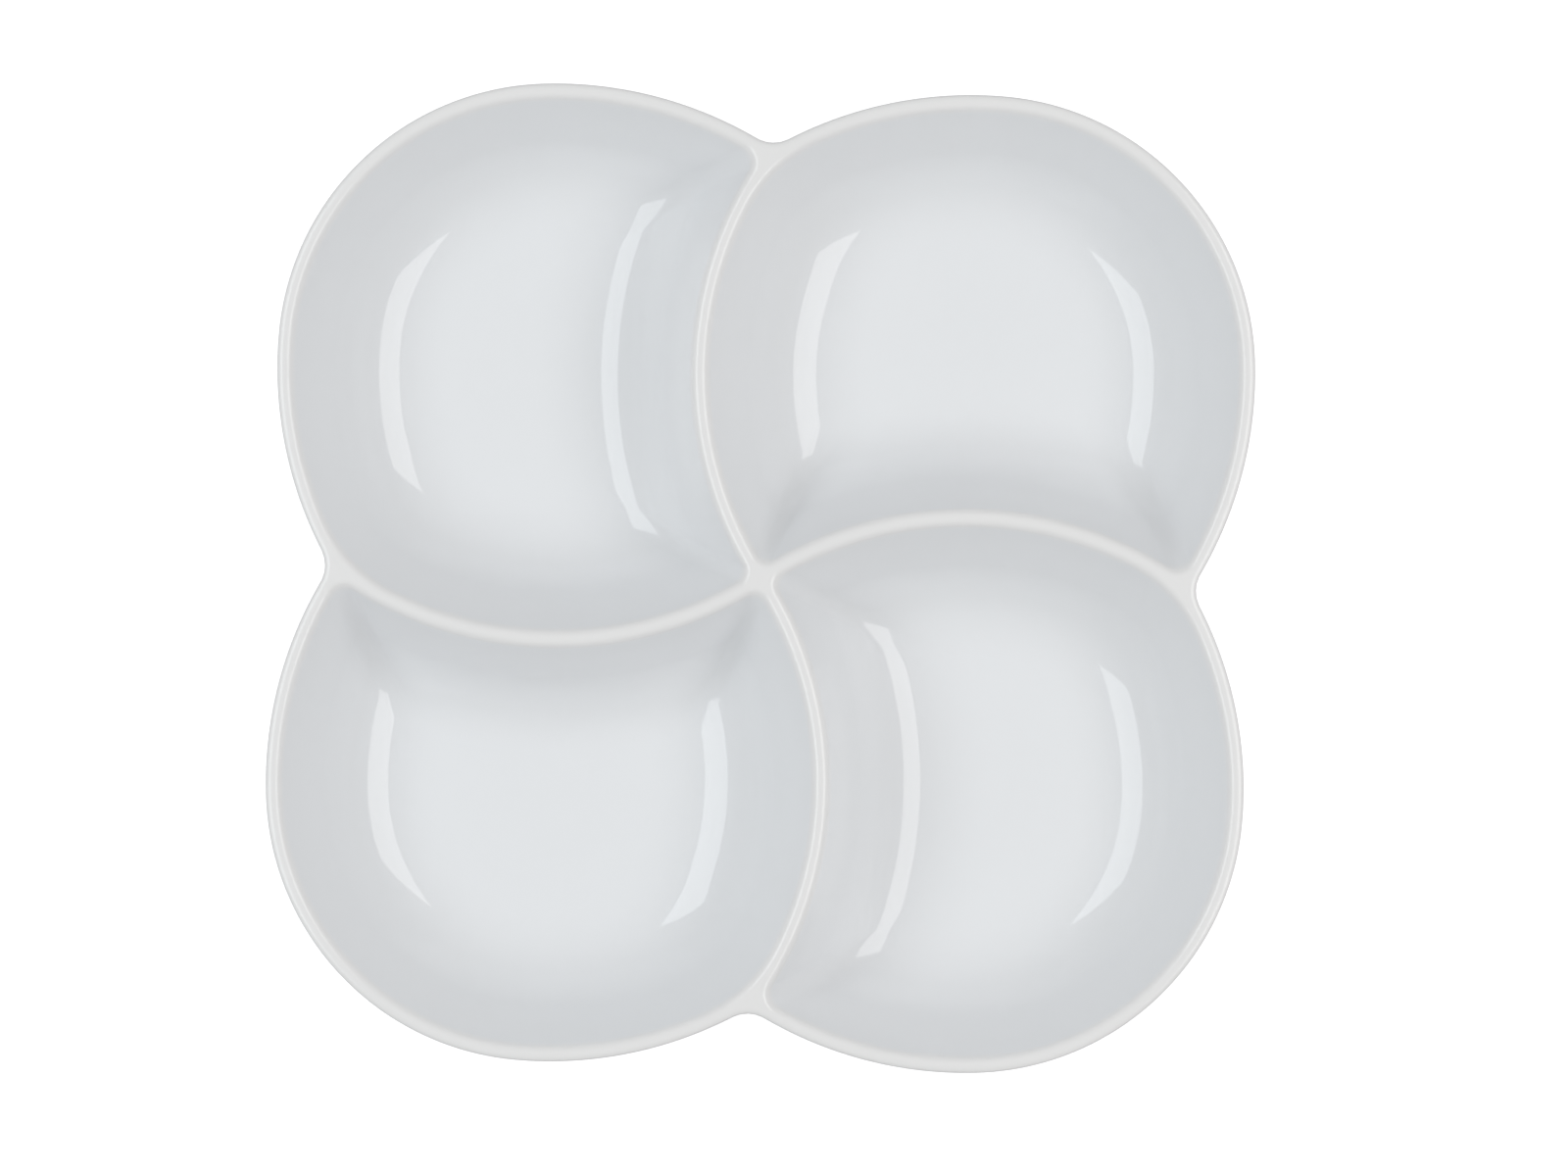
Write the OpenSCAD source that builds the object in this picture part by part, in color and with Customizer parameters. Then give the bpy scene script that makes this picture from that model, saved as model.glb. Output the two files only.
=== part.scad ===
// Divided serving bowl: four round-lobed wells in a pinwheel, parted by four curved dividers.
// All lengths are in millimetres. The origin is the middle of the base, +Z is up and +Y is the back.
// Every well is the same quarter of the dish, turned by a right angle about the middle.

/* [Outline] */
// Overall width, which is also the overall length
dish_w = 280; // [264:1:300]
// Distance between the middles of two neighbouring lobes
lobe_spacing = 119; // [110:0.5:126]
// Radius of a lobe's two long sides, at the outer edge
side_r = 114; // [106:1:124]
// Radius of a lobe's outer corner, at the outer edge
corner_r = 78.4; // [70:0.2:84]
// Radius in the notch between two lobes, at the outer edge
notch_r = 9.5; // [7:0.5:14]

/* [Rim and dividers] */
// Width of the rim and of the dividers' crest
rim_w = 4; // [3:0.1:5]
// Radius that rounds both edges of the rim and of the crests
edge_r = 1.6; // [0.8:0.1:1.8]
// How far a divider bulges out from the straight line between its ends
divider_bulge = 19; // [15:0.5:23]
// Distance from the dish's middle to a divider's widest bulge
divider_mid = 61; // [58:0.5:64]
// Height of a divider, from the groove beneath it to its crest
divider_h = 10; // [7:0.5:15]

/* [Wells] */
// Depth of a well below the rim
well_depth = 37.5; // [30:0.5:44]
// Thickness of a well's floor
floor_t = 4.5; // [3.5:0.1:6]
// Plan width of the wall on a well's round side
round_run = 38; // [34:0.5:42]
// Plan width of the wall on the side that the next divider cuts off
cut_run = 31; // [28:0.5:36]
// Share of a wall's depth and width that its bend to the floor would fill as a quarter of an ellipse
wall_bend_share = 0.8; // [0.7:0.02:0.9]
// Corner radius at the rim, where the outer rim meets the next divider
notch_corner_r = 5; // [4:0.5:7]
// Corner radius at the rim, in the middle of the dish
middle_corner_r = 4; // [3:0.5:6]
// Radius at the rim where a well's own divider runs into its outer rim
bend_r = 40; // [34:1:46]
// Radius of both corners of the flat floor
floor_corner_r = 5; // [4:0.5:8]
// Radius of the bend of the flat floor
floor_bend_r = 24; // [20:0.5:28]

/* [Base] */
// Height of the foot rings
foot_h = 3; // [2:0.1:4.5]
// Height by which a foot ring's outer edge laps up the curve of the well's underside
foot_lap = 0.2; // [0.1:0.05:0.4]
// Half the width of the groove's top, between two neighbouring wells
groove_half = 0.3; // [0.1:0.05:0.8]
// Radius of the underside's corners at the groove
under_corner_r = 3; // [2:0.5:4.5]
// Radius of the underside's corners at the foot rings
foot_corner_r = 12; // [9:0.5:14]

/* [Hidden] */
bowl_names = ["bowl_back_right", "bowl_back_left", "bowl_front_left", "bowl_front_right"];
divider_names = ["divider_back", "divider_left", "divider_front", "divider_right"];
web_names = ["rim_web_back", "rim_web_left", "rim_web_front", "rim_web_right"];
foot_names = [
    "foot_ring_back_right", "foot_ring_back_left", "foot_ring_front_left", "foot_ring_front_right"
];

glaze_colour = [0.89, 0.90, 0.91];
crest_colour = [0.93, 0.93, 0.94];
bare_colour = [0.80, 0.77, 0.72];
quarter = 90;

// Heights
dish_h = foot_h + floor_t + well_depth;
floor_z = foot_h + floor_t;
edge_z = dish_h - edge_r;
groove_z = dish_h - divider_h;

// Half the rim, and the circles of the back right lobe along the middle of its wall
half_w = rim_w / 2;
lobe_mid = lobe_spacing / 2;
side_mid = dish_w / 2 - side_r;
side_path_r = side_r - half_w;
right_c = [side_mid, lobe_mid];
back_c = [lobe_mid, side_mid];
corner_path_r = min(corner_r, side_r - abs(lobe_mid - side_mid)) - half_w;
corner_gap = side_path_r - corner_path_r;
corner_mid = (lobe_mid + side_mid + sqrt(2 * corner_gap ^ 2 - (lobe_mid - side_mid) ^ 2)) / 2;
corner_c = [corner_mid, corner_mid];
divider_r = (divider_bulge ^ 2 + divider_mid ^ 2) / (2 * divider_bulge);
own_c = [divider_r - divider_bulge, divider_mid];
next_c = [divider_mid, divider_bulge - divider_r];

// How finely each stretch of a well's outline is divided
corner_steps = 5;
divider_steps = 12;
stub_steps = 2;
rim_steps = 22;
bend_steps = 5;
// Facets that a divider's arc would have in a whole turn
turn_facets = 180;
// Angle between a web's end and the nearest end of a fillet
web_margin = 1.2;

// Levels of a wall's bend, as shares of its angle up from the flat floor
bend_shares = [0, 0.18, 0.36, 0.54, 0.77, 1];
// Levels of the underside's bend, as shares of its angle down from where it starts
under_bend_shares = [0, 0.25, 0.5, 0.72];
// Levels of the straight parts of a wall and of the underside
wall_straight_shares = [0.5];
under_straight_shares = [0, 0.5];
// Levels from the groove up to the crest, as shares of the straight height and of the edge's rounding
rise_shares = [0, 0.5];
edge_shares = [-0.5, 0, 0.5, 0.8, 1];

// Plane geometry
function heading(v) = atan2(v.y, v.x);
function turned(v) = (heading(v) + 4 * quarter) % (4 * quarter);
function on_circle(c, r, a) = c + r * [cos(a), sin(a)];
function arc(c, r, from, to, steps) =
    [for (i = [0:steps - 1]) on_circle(c, r, from + (to - from) * i / steps)];
function quarter_turn(points, count) =
    let (s = sin(quarter * count), c = cos(quarter * count))
    [for (p = points) [c * p.x - s * p.y, s * p.x + c * p.y]];
// The crossing of two circles that lies to the left of the line from p to q
function crossing(p, rp, q, rq) =
    let (span = norm(q - p), u = (q - p) / span)
    let (along = (rp ^ 2 - rq ^ 2 + span ^ 2) / (2 * span))
    p + along * u + sqrt(max(0, rp ^ 2 - along ^ 2)) * [-u.y, u.x];

// The outer side of the lobe, by the direction that it faces: right side, outer corner, back side
right_end = heading(corner_c - right_c);
back_start = heading(corner_c - back_c);
function side_c(a) = a < right_end ? right_c : a > back_start ? back_c : corner_c;
function side_radius(a) = a < right_end || a > back_start ? side_path_r : corner_path_r;
function side_point(inset, a) = on_circle(side_c(a), side_radius(a) - inset, a);
function side_arc(inset, from, to, steps) =
    [for (i = [0:steps - 1]) side_point(inset, from + (to - from) * i / steps)];

// Fillets of a well's outline. Insets are measured from the middle of the wall.
// Its corner in the middle of the dish, between its own divider and the next one
function middle_fillet(own, next, r) =
    crossing(next_c, divider_r + next + r, own_c, divider_r - own - r);
// Its corner at the notch, between the next divider and the outer side
function notch_fillet(next, side, r) =
    let (c = crossing(right_c, side_path_r - side - r, next_c, divider_r + next + r))
    heading(c - right_c) <= right_end ? c :
    crossing(corner_c, corner_path_r - side - r, next_c, divider_r + next + r);
function notch_side(c) = heading(c - right_c) <= right_end ? heading(c - right_c) : heading(c - corner_c);
// Its bend at the other notch, between the outer side and its own divider
function bend_fillet(own, side, r) =
    crossing(back_c, side_path_r - side - r, own_c, divider_r - own - r);

// A level holds: height, own, next and side insets, and the radii of middle, notch and bend
function fillets(level) = [
    middle_fillet(level[1], level[2], level[4]),
    notch_fillet(level[2], level[3], level[5]),
    bend_fillet(level[1], level[3], level[6])
];

// The closed outline of a level. It starts with the stretch that carries the outer rim,
// between the two facing directions in ends.
function outline(level, ends) =
    let (f = fillets(level), middle = f[0], notch = f[1], bend = f[2])
    concat(
        side_arc(level[3], ends[0], ends[1], rim_steps),
        side_arc(level[3], ends[1], heading(bend - back_c), stub_steps),
        arc(bend, level[6], heading(bend - back_c), turned(bend - own_c), bend_steps),
        arc(own_c, divider_r - level[1], turned(bend - own_c), turned(middle - own_c), divider_steps),
        arc(middle, level[4], turned(middle - own_c), turned(next_c - middle), corner_steps),
        arc(next_c, divider_r + level[2], heading(middle - next_c), heading(notch - next_c), divider_steps),
        arc(notch, level[5], heading(next_c - notch), notch_side(notch), corner_steps),
        side_arc(level[3], notch_side(notch), ends[0], stub_steps)
    );
ring_steps = rim_steps + 2 * stub_steps + bend_steps + 2 * divider_steps + 2 * corner_steps;

// A wall's profile, in shares of its depth and width: straight at the top, then an ellipse to the floor
function curve(share) = 1 - sqrt(max(0, 1 - share ^ 2));
straight_share = 1 - wall_bend_share;
bend_turn = acos(wall_bend_share / norm([1, straight_share])) - atan(straight_share);
straight_drop_share = straight_share + wall_bend_share * sin(bend_turn);
straight_reach_share = 1 - wall_bend_share * cos(bend_turn);
function lean(share) =
    share < straight_drop_share ? share * straight_reach_share / straight_drop_share
    : straight_share + wall_bend_share * curve((share - straight_share) / wall_bend_share);
// The angle of a wall's straight part from level, and where it would pass the middle of the edge's rounding
function wall_angle(run) = atan2((edge_z - floor_z) * straight_drop_share, run * straight_reach_share);
function wall_start(run) = half_w - edge_r + edge_r / sin(wall_angle(run));

// How far a surface stands in from the middle of the wall at a height
function edge_round(z) = edge_r * curve((z - edge_z) / edge_r);
function inside(run, z) =
    z > edge_z + edge_r * cos(wall_angle(run)) ? half_w - edge_round(z)
    : let (start = wall_start(run))
        start + (run + half_w - start) * lean((edge_z - z) / (edge_z - floor_z));
function outside(run, z) =
    z > edge_z - edge_r * cos(wall_angle(run)) ? edge_round(z) - half_w
    : let (start = wall_start(run))
        (run + half_w + start) * lean((edge_z - z) / (edge_z - foot_h)) - start;
function under(run, z) =
    groove_half + (run + half_w - groove_half) * lean((groove_z - z) / (groove_z - foot_h));
function floor_blend(from, to, z) =
    from + (to - from) * lean(max(0, edge_z - z) / (edge_z - floor_z)) + edge_round(max(edge_z, z));

function well_level(z) = [
    z, inside(round_run, z), inside(cut_run, z), inside(round_run, z),
    floor_blend(middle_corner_r, floor_corner_r, z),
    floor_blend(notch_corner_r, floor_corner_r, z),
    floor_blend(bend_r, floor_bend_r, z)
];
function under_level(z) =
    let (share = lean((groove_z - z) / (groove_z - foot_h)))
    [
        z, under(round_run, z), under(cut_run, z), outside(round_run, z),
        under_corner_r + (foot_corner_r - under_corner_r) * share,
        under_corner_r + (foot_corner_r - under_corner_r) * share,
        bend_r + (floor_bend_r - bend_r) * share
    ];

// Where the webs end, as facing directions at the groove's level
groove_level = well_level(groove_z);
rim_level = well_level(edge_z);
groove_fillets = fillets(groove_level);
rim_fillets = fillets(rim_level);
notch_reach = side_mid + sqrt((side_r + notch_r) ^ 2 - lobe_mid ^ 2);
notch_face = heading([notch_reach, 0] - right_c);
rim_from = max(notch_side(groove_fillets[1]), notch_side(rim_fillets[1]), notch_face) + web_margin;
rim_to = min(heading(groove_fillets[2] - back_c), heading(rim_fillets[2] - back_c), quarter - notch_face)
    - web_margin;
divider_from = web_margin + max(
    turned(groove_fillets[2] - own_c), turned(rim_fillets[2] - own_c),
    turned(groove_fillets[1] - next_c) + quarter, turned(rim_fillets[1] - next_c) + quarter
);
divider_to = min(
    turned(groove_fillets[0] - own_c), turned(rim_fillets[0] - own_c),
    turned(groove_fillets[0] - next_c) + quarter, turned(rim_fillets[0] - next_c) + quarter
) - web_margin;

// Below the groove the rim's ends keep their share of the outer side
function rim_ends(level) =
    let (at_groove = fillets(groove_level), here = fillets(level))
    let (start = notch_side(at_groove[1]), span = heading(at_groove[2] - back_c) - start)
    let (first = notch_side(here[1]), reach = heading(here[2] - back_c) - first)
    [first + reach * (rim_from - start) / span, first + reach * (rim_to - start) / span];

// Heights of the levels
function bend_drop(share) = straight_share + wall_bend_share * sin(quarter + (bend_turn - quarter) * share);
bend_top_z = edge_z - (edge_z - floor_z) * straight_drop_share;
wall_z = concat(
    [for (s = bend_shares) edge_z - (edge_z - floor_z) * bend_drop(s)],
    [for (s = wall_straight_shares) bend_top_z + (groove_z - bend_top_z) * s],
    [groove_z]
);
rise_z = concat(
    [for (s = rise_shares) groove_z + (edge_z - groove_z) * s],
    [for (s = edge_shares) edge_z + edge_r * s]
);
under_z = concat(
    [for (s = under_straight_shares) groove_z - (groove_z - foot_h) * straight_drop_share * s],
    [for (s = under_bend_shares) groove_z - (groove_z - foot_h) * bend_drop(1 - s)],
    [foot_h + foot_lap, foot_h]
);

// Triangles between two runs of point numbers, and from a middle point to a closed ring
function strip(a, b) =
    [for (i = [0:len(a) - 2]) each [[a[i], b[i + 1], a[i + 1]], [a[i], b[i], b[i + 1]]]];
function closed(run) = concat(run, [run[0]]);
function fan(middle, ring) = [for (i = [0:len(ring) - 1]) [middle, ring[(i + 1) % len(ring)], ring[i]]];
function reversed(list) = [for (i = [len(list) - 1:-1:0]) list[i]];
function lift(points, z) = [for (p = points) [p.x, p.y, z]];
function mean(points) = [for (p = points) 1] * points / len(points);

// One well: the floor and walls, with the outer rim, and a low flat edge that carries the dividers
module bowl() {
    inner = [for (z = wall_z) outline(well_level(z), z == groove_z ? [rim_from, rim_to]
        : rim_ends(well_level(z)))];
    outer = [for (z = under_z) outline(under_level(z), z == groove_z ? [rim_from, rim_to]
        : rim_ends(under_level(z)))];
    inner_points = [for (i = [0:len(wall_z) - 1]) each lift(inner[i], wall_z[i])];
    outer_points = [for (i = [0:len(under_z) - 1]) each lift(outer[i], under_z[i])];
    // The rim rises from the inner groove level over the crest to the outer groove level
    rise = [for (i = [1:len(rise_z) - 1]) rise_z[i]];
    facing = [for (i = [0:rim_steps]) rim_from + (rim_to - rim_from) * i / rim_steps];
    rim_in = [for (z = rise) each [for (a = facing) each lift([side_point(inside(round_run, z), a)], z)]];
    rim_out = [for (z = reversed(rise)) each [for (a = facing)
        each lift([side_point(outside(round_run, z), a)], z)]];
    floor_mid = concat(mean(inner[0]), [floor_z]);
    base_mid = concat(mean(outer[len(outer) - 1]), [foot_h]);
    points = concat(inner_points, rim_in, rim_out, outer_points, [floor_mid, base_mid]);
    // Point numbers
    top = len(wall_z) - 1;
    base = len(under_z) - 1;
    rim_count = rim_steps + 1;
    rim_start = len(inner_points);
    outer_start = rim_start + len(rim_in) + len(rim_out);
    inner_ring = [for (i = [0:top]) [for (j = [0:ring_steps - 1]) i * ring_steps + j]];
    outer_ring = [for (i = [0:base]) [for (j = [0:ring_steps - 1]) outer_start + i * ring_steps + j]];
    rim_run = concat(
        [[for (j = [0:rim_steps]) inner_ring[top][j]]],
        [for (i = [0:2 * len(rise) - 1]) [for (j = [0:rim_steps]) rim_start + i * rim_count + j]],
        [[for (j = [0:rim_steps]) outer_ring[0][j]]]
    );
    last_run = len(rim_run) - 1;
    // Ends of the rim, as ladders between its inner and outer faces
    ladder_in = [for (i = [0:len(rise)]) rim_run[i]];
    ladder_out = [for (i = [0:len(rise)]) rim_run[last_run - i]];
    function column(runs, j) = [for (run = runs) run[j]];
    low_in = [for (j = [rim_steps:ring_steps]) inner_ring[top][j % ring_steps]];
    low_out = [for (j = [rim_steps:ring_steps]) outer_ring[0][j % ring_steps]];
    faces = concat(
        fan(len(points) - 2, inner_ring[0]),
        [for (i = [0:top - 1]) each strip(closed(inner_ring[i + 1]), closed(inner_ring[i]))],
        [for (i = [0:last_run - 1]) each strip(rim_run[i + 1], rim_run[i])],
        strip(low_out, low_in),
        strip(column(ladder_out, 0), column(ladder_in, 0)),
        strip(column(ladder_in, rim_steps), column(ladder_out, rim_steps)),
        [for (i = [0:base - 1]) each strip(closed(outer_ring[i + 1]), closed(outer_ring[i]))],
        fan(len(points) - 1, reversed(outer_ring[base]))
    );
    color(glaze_colour) polyhedron(points, faces);
}

// The divider that belongs to the back right lobe: one arc, from the outer web to the middle web
module divider() {
    own_side = [for (z = rise_z) [divider_r - inside(round_run, z), z]];
    next_side = [for (z = reversed(rise_z)) [divider_r + inside(cut_run, z), z]];
    color(crest_colour)
        translate(own_c)
            rotate([0, 0, divider_from])
                rotate_extrude(angle = divider_to - divider_from, $fn = turn_facets)
                    polygon(concat(own_side, next_side));
}

// A solid from a stack of level rings that all have the same number of points
module stack(rings, heights) {
    count = len(rings[0]);
    middles = [for (i = [0, len(rings) - 1]) concat(mean(rings[i]), [heights[i]])];
    points = concat([for (i = [0:len(rings) - 1]) each lift(rings[i], heights[i])], middles);
    ring = [for (i = [0:len(rings) - 1]) [for (j = [0:count - 1]) i * count + j]];
    faces = concat(
        fan(len(points) - 2, reversed(ring[0])),
        [for (i = [0:len(rings) - 2]) each strip(closed(ring[i]), closed(ring[i + 1]))],
        fan(len(points) - 1, ring[len(rings) - 1])
    );
    polyhedron(points, faces);
}

// The flat web at the back notch, where two outer rims and the end of a divider meet
module rim_web() {
    notch_mid = [0, notch_reach];
    notch_from = heading(back_c - notch_mid);
    notch_span = -2 * quarter - 2 * notch_from;
    function web_ring(z) =
        let (level = well_level(z), f = fillets(level), notch = f[1], bend = f[2])
        let (out = outside(round_run, z), edge = notch_r + half_w + out)
        let (notch_steps = 2 * corner_steps)
        let (next_well = concat(
            [on_circle(next_c, divider_r + level[2], divider_from - quarter)],
            arc(notch, level[5], heading(next_c - notch), notch_side(notch), corner_steps),
            [side_point(level[3], notch_side(notch)), side_point(level[3], rim_from)]
        ))
        let (this_well = concat(
            [side_point(level[3], rim_to)],
            arc(bend, level[6], heading(bend - back_c), turned(bend - own_c), bend_steps),
            [on_circle(own_c, divider_r - level[1], turned(bend - own_c))],
            [on_circle(own_c, divider_r - level[1], divider_from)]
        ))
        concat(
            [side_point(out, rim_to)],
            arc(notch_mid, edge, notch_from, notch_from + notch_span, notch_steps),
            [on_circle(notch_mid, edge, notch_from + notch_span)],
            quarter_turn([side_point(out, rim_from)], 1),
            reversed(quarter_turn(next_well, 1)),
            reversed(this_well)
        );
    color(crest_colour) stack([for (z = rise_z) web_ring(z)], rise_z);
}

// The flat web in the middle of the dish, where the four dividers meet
module centre_web() {
    function corner(z) =
        let (level = well_level(z), c = fillets(level)[0])
        concat(
            [on_circle(own_c, divider_r - level[1], divider_to)],
            arc(c, level[4], turned(c - own_c), turned(next_c - c), corner_steps),
            [on_circle(next_c, divider_r + level[2], heading(c - next_c))],
            [on_circle(next_c, divider_r + level[2], divider_to - quarter)]
        );
    function star(z) = [for (count = [3:-1:0]) each quarter_turn(corner(z), count)];
    color(crest_colour) stack([for (z = rise_z) reversed(star(z))], rise_z);
}

// The bare ring that a well stands on. It follows the outline of the flat floor.
module foot_ring() {
    function under_ring(z) = outline(under_level(z), rim_ends(under_level(z)));
    outer = under_ring(foot_h + foot_lap);
    inner = under_ring(foot_h);
    points = concat(lift(outer, 0), lift(outer, foot_h + foot_lap), lift(inner, foot_h), lift(inner, 0));
    ring = [for (i = [0:3]) closed([for (j = [0:ring_steps - 1]) i * ring_steps + j])];
    color(bare_colour)
        polyhedron(points, [for (i = [0:3]) each strip(ring[i], ring[(i + 1) % 4])]);
}

for (i = [0:3]) {
    rotate([0, 0, quarter * i]) bowl();
    rotate([0, 0, quarter * i]) divider();
    rotate([0, 0, quarter * i]) rim_web();
    rotate([0, 0, quarter * i]) foot_ring();
}
centre_web();
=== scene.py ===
"""Looks of the divided serving bowl: one glazed porcelain body on four bare foot rings."""

import cmath
import logging
import math
from collections.abc import Iterable
from dataclasses import dataclass
from enum import Enum
from typing import Union

import bmesh
import bpy
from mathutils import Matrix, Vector


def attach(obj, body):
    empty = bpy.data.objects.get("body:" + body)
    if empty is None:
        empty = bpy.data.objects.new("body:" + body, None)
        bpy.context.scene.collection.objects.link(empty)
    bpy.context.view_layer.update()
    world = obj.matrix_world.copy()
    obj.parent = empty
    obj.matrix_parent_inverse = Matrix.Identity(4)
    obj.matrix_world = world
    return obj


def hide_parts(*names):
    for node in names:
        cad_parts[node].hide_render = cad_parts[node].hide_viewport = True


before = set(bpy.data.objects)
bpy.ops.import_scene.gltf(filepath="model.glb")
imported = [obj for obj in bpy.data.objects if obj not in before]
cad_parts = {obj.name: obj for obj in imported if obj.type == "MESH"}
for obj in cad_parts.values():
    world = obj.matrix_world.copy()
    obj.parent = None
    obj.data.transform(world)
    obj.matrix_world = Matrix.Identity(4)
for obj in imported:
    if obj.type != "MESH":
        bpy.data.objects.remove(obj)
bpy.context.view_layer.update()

log = logging.getLogger("serving_bowl")

MM = 0.001
QUARTER = 90.0
FULL = 360.0
BODY = "root"
# Points closer than this are one point
MERGE_GAP = 0.00002
# Noise seldom leaves this range
NOISE_RANGE = (0.3, 0.7)

Tone = tuple[float, float, float]


class Slot(Enum):
    """The record's material slots."""

    GLAZE = "glaze"
    BARE_FOOT = "bare_foot"


def heading(way: complex) -> float:
    """The direction of a plan vector, in degrees from -180 to 180."""
    return math.degrees(cmath.phase(way))


def turned(way: complex) -> float:
    """The direction of a plan vector, in degrees from 0 to 360."""
    return heading(way) % FULL


def crossing(first: complex, first_r: float, second: complex, second_r: float) -> complex:
    """Finds where two circles cross, to the left of the line between their middles.

    Args:
        first: Middle of the circle that the line starts from.
        first_r: Its radius.
        second: Middle of the other circle.
        second_r: Its radius.

    Returns:
        The crossing point.
    """
    span = abs(second - first)
    along = (first_r ** 2 - second_r ** 2 + span ** 2) / (2 * span)
    return first + (second - first) / span * complex(along, math.sqrt(max(0.0, first_r ** 2 - along ** 2)))


def curve(share: float) -> float:
    """The rise of a quarter circle of radius 1 at a share of its width."""
    return 1 - math.sqrt(max(0.0, 1 - share ** 2))


def bow(drop: float) -> float:
    """The half width of a circle of radius 1 at a drop from its top."""
    return math.sqrt(max(0.0, 1 - (1 - drop) ** 2))


@dataclass(frozen=True)
class Arc:
    """A stretch of a circle in plan, between two directions from its middle."""

    centre: complex
    radius: float
    start: float
    end: float

    @property
    def length(self) -> float:
        """Length along the arc."""
        return abs(self.radius * math.radians(self.end - self.start))

    def point(self, share: float) -> complex:
        """The point at a share of the arc's length."""
        angle = self.start + (self.end - self.start) * share
        return self.centre + cmath.rect(self.radius, math.radians(angle))


@dataclass(frozen=True)
class Line:
    """A straight stretch in plan."""

    start: complex
    end: complex

    @property
    def length(self) -> float:
        """Length of the line."""
        return abs(self.end - self.start)

    def point(self, share: float) -> complex:
        """The point at a share of the line's length."""
        return self.start + (self.end - self.start) * share


Stretch = Union[Arc, Line]


def spread(path: list[Stretch], count: int) -> list[complex]:
    """Places points at even distances along joined stretches.

    Args:
        path: The stretches, each starting where the last one ends.
        count: Number of steps.

    Returns:
        The points, without the last end.
    """
    path = [stretch for stretch in path if stretch.length > MERGE_GAP]
    total = sum(stretch.length for stretch in path)
    points = []
    for step in range(count):
        left = total * step / count
        for stretch in path:
            if left <= stretch.length:
                break
            left -= stretch.length
        points.append(stretch.point(min(1.0, left / stretch.length)))
    return points


@dataclass(frozen=True)
class Level:
    """A well's outline at one height, in millimetres: its insets from the wall's middle and its corners."""

    z: float
    own: float
    following: float
    side: float
    middle_r: float
    notch_r: float
    bend_r: float


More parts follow.
